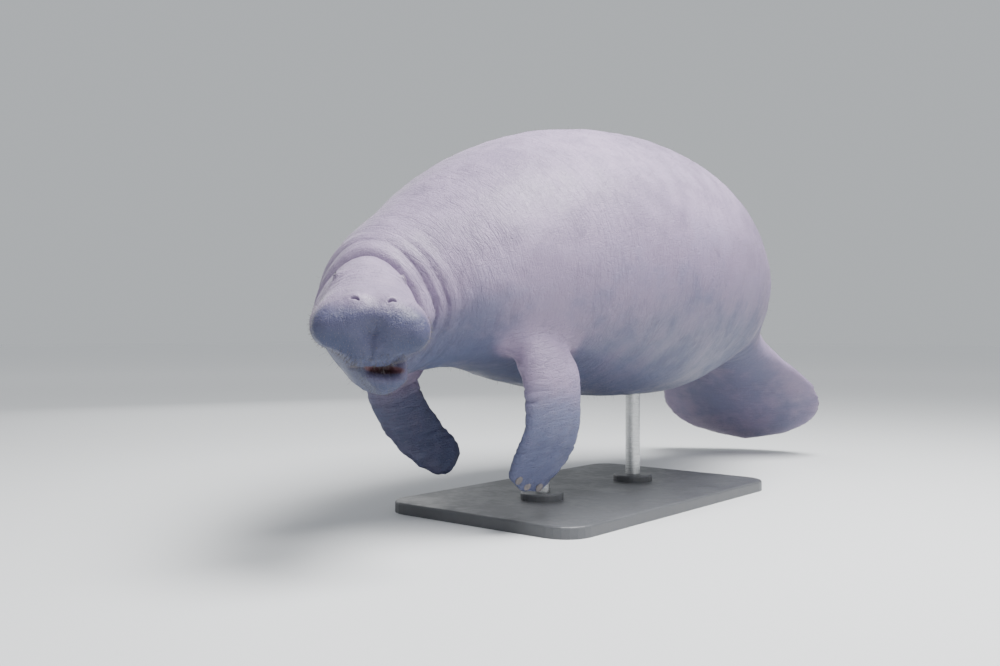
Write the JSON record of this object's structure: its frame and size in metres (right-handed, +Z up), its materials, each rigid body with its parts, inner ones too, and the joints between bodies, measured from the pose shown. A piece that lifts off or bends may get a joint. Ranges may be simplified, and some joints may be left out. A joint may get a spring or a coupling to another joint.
{
  "type": "manatee",
  "caption": "Life-size still model of a manatee hovering in mid-water with its head turned to its left, held by a flat base and short rods.",
  "frame": {"origin": "middle of the underside of the stand's base", "axes": "+Z up, -Y the way the body swims, +X to the animal's left"},
  "size_m": [0.8972, 2.7529, 1.1111],
  "materials": {
    "skin": "wrinkled wet hide, mauve grey, darker and bluer below",
    "eye": "wet and glossy, near black",
    "nail": "worn horn",
    "stand_plate": "satin dark grey paint",
    "stand_rod": "brushed round bar"
  },
  "bodies": {
    "root": {"muzzle": "skin", "head": "skin", "neck": "skin", "chest": "skin", "belly": "skin", "rump": "skin", "tail_stock": "skin", "tail_paddle": "skin", "lower_jaw": "skin", "flipper_left": "skin", "flipper_right": "skin", "eye_left": "eye", "eye_right": "eye", "nail_left_1": "nail", "nail_left_2": "nail", "nail_left_3": "nail", "nail_right_1": "nail", "nail_right_2": "nail", "nail_right_3": "nail", "stand_base": "stand_plate", "stand_collar_front": "stand_plate", "stand_collar_rear": "stand_plate", "stand_rod_front": "stand_rod", "stand_rod_rear": "stand_rod"}
  },
  "joints": []
}
